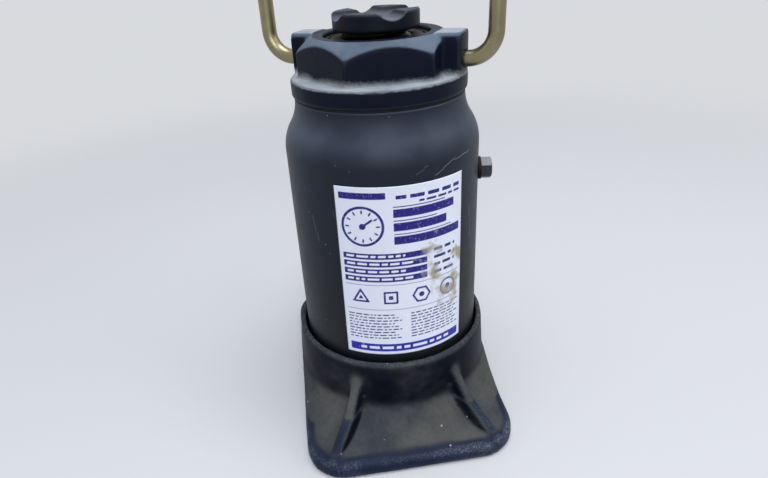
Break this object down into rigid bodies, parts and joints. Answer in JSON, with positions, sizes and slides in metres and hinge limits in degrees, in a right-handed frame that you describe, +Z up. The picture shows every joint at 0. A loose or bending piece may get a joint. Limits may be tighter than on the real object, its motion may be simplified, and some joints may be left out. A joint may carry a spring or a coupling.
{
  "type": "hydraulic bottle jack",
  "caption": "Upright hydraulic jack: ribbed cast foot, round oil reservoir, hexagon head nut, ram with a screw-out grooved saddle, wire carrying bail, hand pump and release valve behind.",
  "frame": {"origin": "on the ram's axis, on the floor under the foot plate", "axes": "+Z up along the ram, -Y the front with the wide clear face of the tube, +Y the pump, +X the filler plug's side"},
  "size_m": [0.1269, 0.234, 0.3],
  "materials": {
    "cast_iron": "painted sand casting",
    "enamel": "semi-matt",
    "head_steel": "dull, dusty",
    "ram_steel": "ground, lightly rusted",
    "saddle_steel": "black oxide",
    "chromated_wire": "yellow chromate",
    "plain_steel": "turned",
    "honed_steel": "ground",
    "black_steel": "black oxide",
    "copper": "soft annealed",
    "seal": "moulded"
  },
  "bodies": {
    "jack_body": {"base_casting": "cast_iron", "cylinder_gasket": "copper", "tube_lower_gasket": "seal", "tube_upper_gasket": "seal", "reservoir_tube": "enamel", "filler_washer": "copper", "filler_plug": "black_steel", "pressure_cylinder": "honed_steel", "head_nut": "head_steel", "ram_wiper": "seal", "ram_seal": "seal", "pump_washer": "copper", "pump_barrel": "plain_steel", "pump_packing": "seal", "pump_gland": "plain_steel", "suction_ball": "honed_steel", "suction_blank": "plain_steel", "discharge_ball": "honed_steel", "discharge_spring": "plain_steel", "discharge_plug": "plain_steel", "release_packing": "seal", "release_gland": "plain_steel", "fulcrum_pin": "plain_steel", "fulcrum_clip": "plain_steel"},
    "ram": {"ram": "ram_steel", "piston": "honed_steel", "piston_cup": "seal", "cup_nut": "plain_steel"},
    "screw_stop": {"stop_ring": "plain_steel"},
    "lift_screw": {"lift_screw": "saddle_steel", "stop_clip": "plain_steel"},
    "bail": {"bail_handle": "chromated_wire"},
    "plunger": {"pump_plunger": "honed_steel", "plunger_pin": "plain_steel", "plunger_clip": "plain_steel"},
    "lever": {"lever_socket": "enamel"},
    "release_valve": {"release_needle": "plain_steel"}
  },
  "joints": [
    {"name": "ram_rise", "type": "slide", "parent": "jack_body", "child": "ram", "axis": [0, 0, 1], "range_m": [0, 0.155]},
    {"name": "screw_rise", "type": "slide", "parent": "ram", "child": "screw_stop", "axis": [0, 0, 1], "range_m": [0, 0.1]},
    {"name": "screw_turn", "type": "hinge", "parent": "screw_stop", "child": "lift_screw", "pos_m": [0, 0, 0.235], "axis": [0, 0, 1], "range_deg": [0, 6000]},
    {"name": "bail_swing", "type": "hinge", "parent": "jack_body", "child": "bail", "pos_m": [0, 0, 0.2165], "axis": [0.866, -0.5, 0], "range_deg": [-114, 156]},
    {"name": "lever_swing", "type": "hinge", "parent": "jack_body", "child": "lever", "pos_m": [0, 0.064, 0.08504], "axis": [1, 0, 0], "range_deg": [0, 40]},
    {"name": "pump_stroke", "type": "slide", "parent": "jack_body", "child": "plunger", "axis": [0, 0, 1], "range_m": [0, 0.01748]},
    {"name": "release_turn", "type": "hinge", "parent": "jack_body", "child": "release_valve", "pos_m": [0.03, 0.09, 0.02], "axis": [0, 1, 0], "range_deg": [0, 360]}
  ],
  "couplings": [
    {"joint": "screw_rise", "follows": "screw_turn", "m_per_rad": 0.00095492},
    {"joint": "pump_stroke", "follows": "lever_swing", "m_per_rad": 0.025025}
  ]
}
